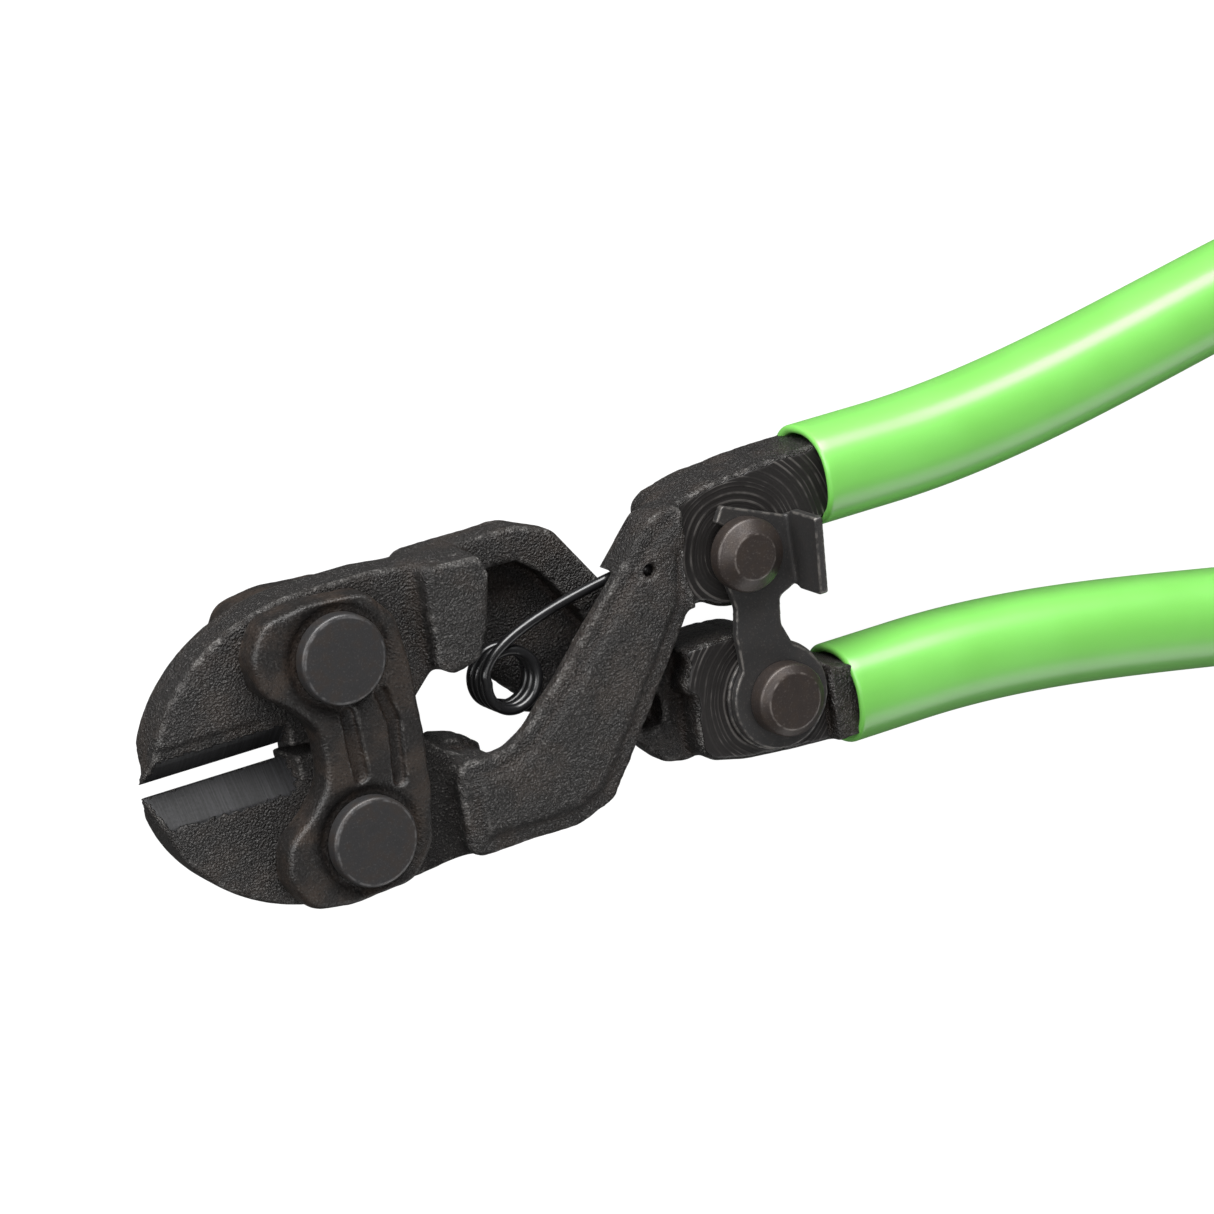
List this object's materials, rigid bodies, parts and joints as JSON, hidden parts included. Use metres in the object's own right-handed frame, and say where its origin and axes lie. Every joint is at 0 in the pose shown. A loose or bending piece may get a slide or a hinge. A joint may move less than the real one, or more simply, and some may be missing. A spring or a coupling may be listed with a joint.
{
  "type": "bolt cutters",
  "caption": "Pocket bolt cutters: crossed forged jaw levers between riveted link plates, sprung open, held shut by a swinging hook latch, with moulded grips.",
  "frame": {"origin": "middle of the tool's bounding box, on the flat faces of the rear rivet heads that it lies on", "axes": "+X towards the handle ends, +Y towards the upper handle, +Z from the rear rivet heads towards the latch side"},
  "size_m": [0.2061, 0.0672, 0.0223],
  "materials": {
    "forged_steel": "black oxide over a rough forged skin, worn lighter on the edges",
    "rivet_steel": "black oxide, smooth turned heads with light edges",
    "stamped_steel": "thin stamped sheet, black oxide, satin",
    "spring_steel": "glossy black spring wire",
    "grip_pvc": "glossy dipped vinyl, bright lime green"
  },
  "bodies": {
    "head": {"front_link_plate": "forged_steel", "rear_link_plate": "forged_steel", "upper_pivot_rivet": "rivet_steel", "lower_pivot_rivet": "rivet_steel", "torsion_spring": "spring_steel"},
    "lever_a": {"upper_jaw_lever": "forged_steel", "lower_grip": "grip_pvc", "latch_rivet": "rivet_steel", "latch_washer": "stamped_steel"},
    "lever_b": {"lower_jaw_lever": "forged_steel", "upper_grip": "grip_pvc", "catch_pin": "rivet_steel"},
    "latch": {"latch_plate": "stamped_steel"}
  },
  "joints": [
    {"name": "handle_opening", "type": "hinge", "parent": "head", "child": "lever_b", "pos_m": [-0.0769, -0.012, 0.00935], "axis": [0, 0, 1], "range_deg": [-1.5, 6], "deforming": ["torsion_spring"]},
    {"name": "lower_handle_opening", "type": "hinge", "parent": "head", "child": "lever_a", "pos_m": [-0.0769, 0.012, 0.00935], "axis": [0, 0, 1], "range_deg": [-6, 1.5], "deforming": ["torsion_spring"]},
    {"name": "latch_swing", "type": "hinge", "parent": "lever_a", "child": "latch", "pos_m": [-0.0154, -0.0111, 0.0148], "axis": [0, 0, 1], "range_deg": [-24, 6]}
  ],
  "couplings": [
    {"joint": "lower_handle_opening", "follows": "handle_opening", "ratio": -1},
    {"joint": "latch_swing", "follows": "handle_opening", "ratio": -4}
  ]
}
